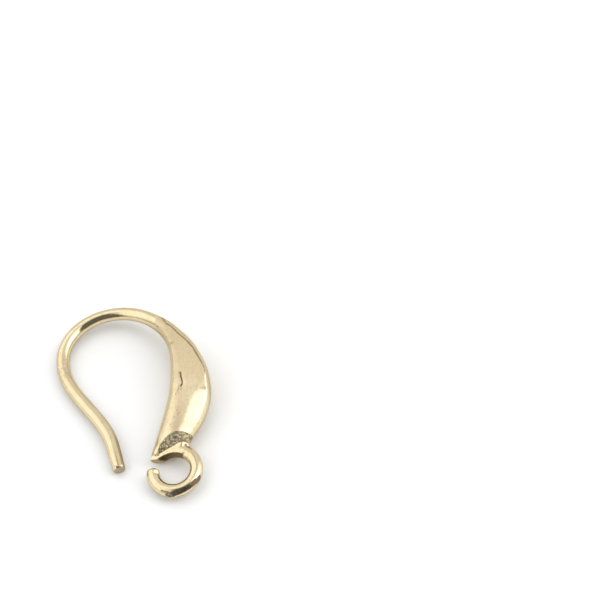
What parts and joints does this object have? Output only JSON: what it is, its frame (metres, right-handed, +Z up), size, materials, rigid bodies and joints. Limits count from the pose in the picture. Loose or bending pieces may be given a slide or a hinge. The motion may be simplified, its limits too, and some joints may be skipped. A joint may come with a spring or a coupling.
{
  "type": "ear wire",
  "caption": "Cast brass ear wire: a round wire hook that swells into a crescent body and ends in a small open loop for a drop to hang from.",
  "frame": {"origin": "middle of the bounding box on the surface it lies on", "axes": "+Z up off the surface it lies on, +Y from the pin end towards the hook's arch, +X from the wire's flank towards the body"},
  "size_m": [0.0098, 0.0134, 0.0023],
  "materials": {
    "brass": "polished, with a warm pale gold tone"
  },
  "bodies": {
    "root": {"ear_wire": "brass"}
  },
  "joints": []
}
